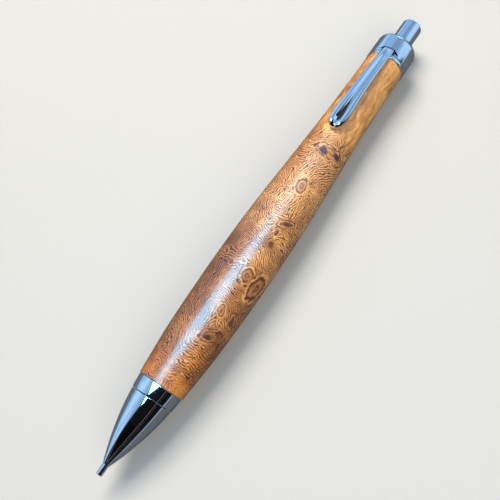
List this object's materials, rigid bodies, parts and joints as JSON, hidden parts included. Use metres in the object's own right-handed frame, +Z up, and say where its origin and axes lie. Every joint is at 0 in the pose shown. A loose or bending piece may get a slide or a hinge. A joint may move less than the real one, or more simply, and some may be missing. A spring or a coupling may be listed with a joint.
{
  "type": "mechanical pencil",
  "caption": "Push-button mechanical pencil: swelling burl-wood barrel, tapered chrome nose cone, chrome bands, and a spoon-shaped split clip.",
  "frame": {"origin": "on the surface the pencil lies on, under the middle of its length", "axes": "+X along the pencil from its writing tip to its push button, +Z up through the clip, +Y to the side"},
  "size_m": [0.138, 0.0144, 0.0152],
  "materials": {
    "chrome": "mirror-polished plating",
    "burl_wood": "glossy clear finish over orange-brown burl",
    "brass": "machined",
    "spring_steel": "drawn wire",
    "black_plastic": "moulded black",
    "rubber": "black rubber",
    "eraser_white": "white eraser",
    "graphite": "graphite lead"
  },
  "bodies": {
    "holder": {"barrel": "burl_wood", "liner_tube": "brass", "front_insert": "brass", "rear_insert": "black_plastic", "front_ring": "chrome", "rear_ring": "chrome", "cap": "chrome", "chuck_housing": "brass"},
    "knock": {"lead_tube": "black_plastic", "chuck": "brass", "spring_collar": "brass", "eraser_holder": "brass", "eraser": "eraser_white", "return_spring": "spring_steel", "spare_lead_1": "graphite", "spare_lead_2": "graphite", "spare_lead_3": "graphite"},
    "button": {"push_button": "chrome"},
    "clutch": {"clutch_ring": "brass"},
    "lead": {"writing_lead": "graphite"},
    "clip": {"clip": "chrome"},
    "tip": {"lead_sleeve": "chrome", "lead_retainer": "rubber"},
    "nose": {"nose_cone": "chrome"}
  },
  "joints": [
    {"name": "knock_slide", "type": "slide", "parent": "holder", "child": "knock", "axis": [-1, 0, 0], "range_m": [0, 0.0026], "stiffness_N_per_m": 1200, "springref_m": -0.003, "deforming": ["return_spring"]},
    {"name": "clutch_slide", "type": "slide", "parent": "holder", "child": "clutch", "axis": [-1, 0, 0], "range_m": [0, 0.0011]},
    {"name": "button_pull", "type": "slide", "parent": "knock", "child": "button", "axis": [1, 0, 0], "range_m": [0, 0.012]},
    {"name": "lead_feed", "type": "slide", "parent": "holder", "child": "lead", "axis": [-1, 0, 0], "range_m": [0, 0.005]},
    {"name": "clip_flex", "type": "hinge", "parent": "holder", "child": "clip", "pos_m": [0.0566, 0, 0.01199], "axis": [0, 1, 0], "range_deg": [0, 4], "stiffness_Nm_per_rad": 0.4, "springref_deg": -0.57},
    {"name": "nose_advance", "type": "slide", "parent": "holder", "child": "tip", "axis": [-1, 0, 0], "range_m": [0, 0.0045]},
    {"name": "nose_unscrew", "type": "hinge", "parent": "tip", "child": "nose", "pos_m": [-0.05, 0, 0.00724], "axis": [-1, 0, 0], "range_deg": [0, 2165]}
  ],
  "couplings": [
    {"joint": "clutch_slide", "follows": "knock_slide", "ratio": 0.4},
    {"joint": "nose_unscrew", "follows": "nose_advance", "rad_per_m": 8377.6}
  ]
}
